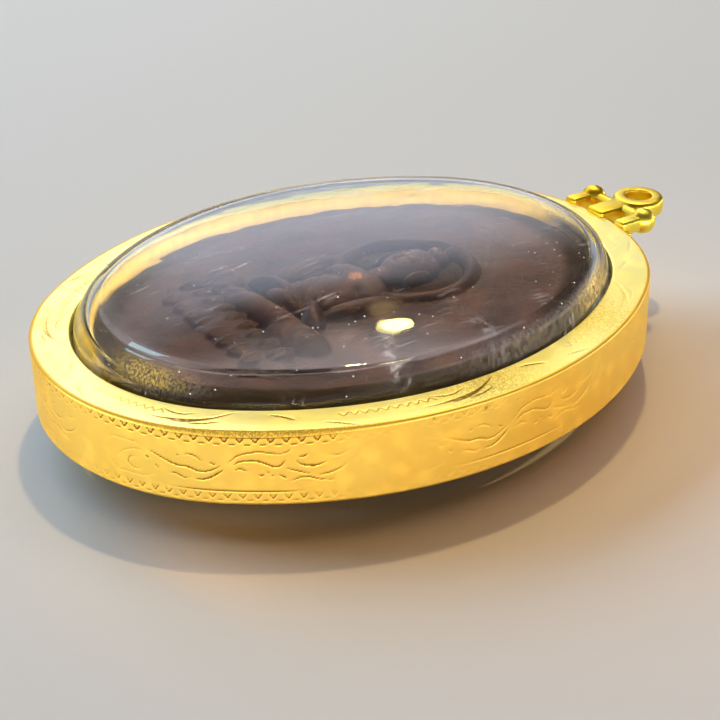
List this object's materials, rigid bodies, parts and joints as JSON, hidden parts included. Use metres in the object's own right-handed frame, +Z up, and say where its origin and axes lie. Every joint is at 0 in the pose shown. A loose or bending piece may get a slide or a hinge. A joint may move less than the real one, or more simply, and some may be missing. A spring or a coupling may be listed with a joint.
{
  "type": "thai buddha amulet pendant",
  "caption": "Oval amulet pendant: gilt band with flat flanges and a soldered bail eye, clear domed front cover, clear back cover and a dark tablet with a seated figure in relief.",
  "frame": {"origin": "centre of the flat back face that the pendant lies on, under the middle of the oval", "axes": "+Z up out of the front cover, +X from the middle of the oval to the bail, +Y across the oval"},
  "size_m": [0.0499, 0.0352, 0.011],
  "materials": {
    "gilt": "polished gold plate with an engraved band, worn at the edges",
    "clear_front": "clear polished acrylic with fine scuffs",
    "clear_back": "clear polished acrylic",
    "dark_bronze": "blackened purple-brown patina, semi-gloss"
  },
  "bodies": {
    "root": {"case": "gilt", "front_dome": "clear_front", "back_cover": "clear_back", "amulet": "dark_bronze"}
  },
  "joints": []
}
